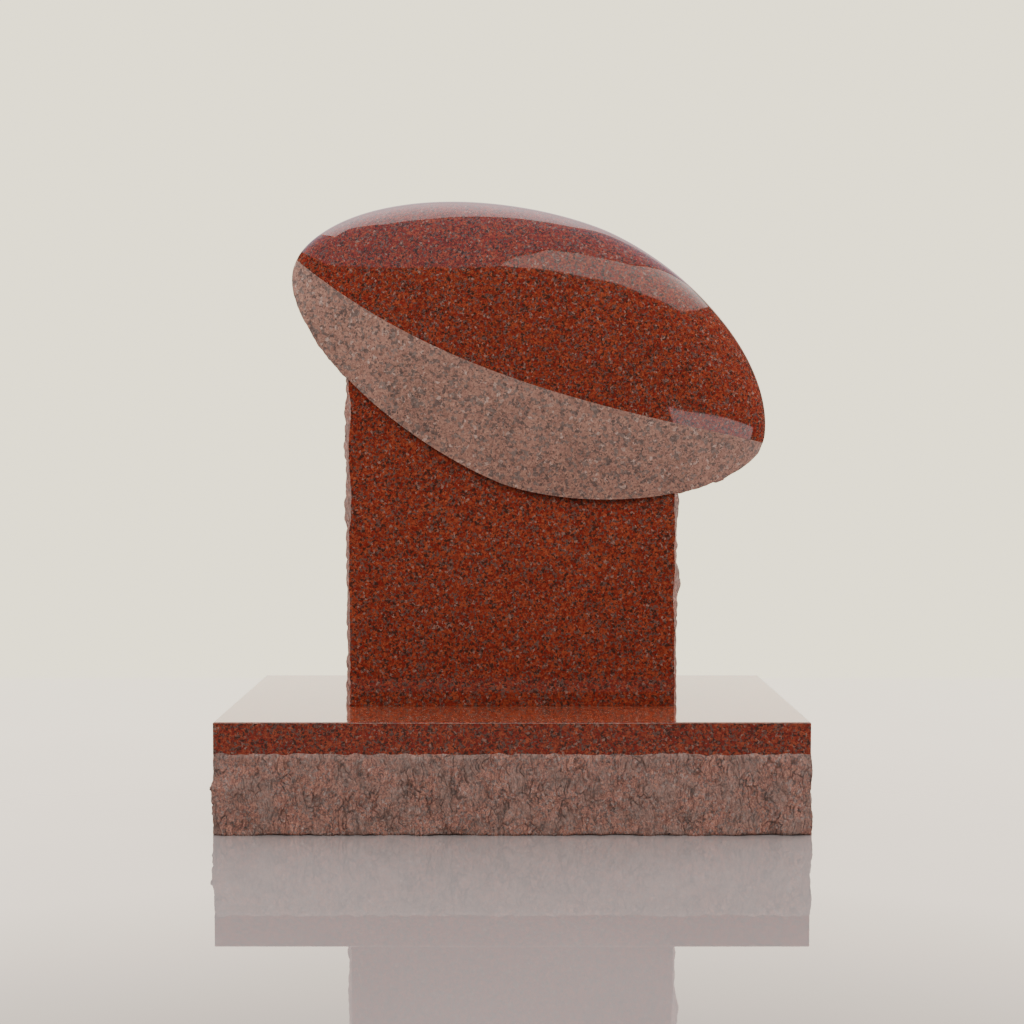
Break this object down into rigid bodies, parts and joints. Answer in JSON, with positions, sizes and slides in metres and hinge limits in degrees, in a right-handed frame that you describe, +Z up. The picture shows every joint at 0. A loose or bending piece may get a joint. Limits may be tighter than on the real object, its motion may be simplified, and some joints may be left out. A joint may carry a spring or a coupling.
{
  "type": "rugby ball headstone",
  "caption": "Granite headstone: a tilted rugby ball carved in one with its upright tablet, polished faces and rock-pitched edges, standing on a base stone with a polished top.",
  "frame": {"origin": "on the ground, under the middle of the base stone", "axes": "+Z up, +X to the right as the polished front is seen, +Y to the back, so the front faces -Y"},
  "size_m": [1.08, 0.521, 1.1702],
  "materials": {
    "base_granite": "red granite, polished on the top and on the margin below it, rock-pitched further down",
    "red_granite": "red granite, polished on its faces, frosted on the lower panel of the ball, rock-pitched on its edges"
  },
  "bodies": {
    "root": {"base": "base_granite", "headstone": "red_granite"}
  },
  "joints": []
}
